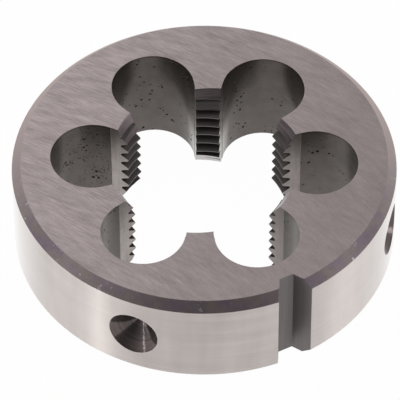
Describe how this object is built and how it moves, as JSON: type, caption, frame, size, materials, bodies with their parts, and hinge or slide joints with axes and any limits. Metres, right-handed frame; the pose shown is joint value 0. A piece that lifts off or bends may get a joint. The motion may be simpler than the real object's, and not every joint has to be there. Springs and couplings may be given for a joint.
{
  "type": "round threading die",
  "caption": "Round steel die that cuts an outside pipe thread: teeth on lands round a bore, chip holes behind them, and a grooved rim for a die stock.",
  "frame": {"origin": "middle of the bottom face, on the thread axis", "axes": "+Z along the thread axis towards the front face, +X towards the locating groove in the rim"},
  "size_m": [0.0549, 0.055, 0.016],
  "materials": {
    "tool_steel": "hardened tool steel: faces, rim and flanks of the lands ground bright, all else dark as hardened"
  },
  "bodies": {
    "root": {"die": "tool_steel"}
  },
  "joints": []
}
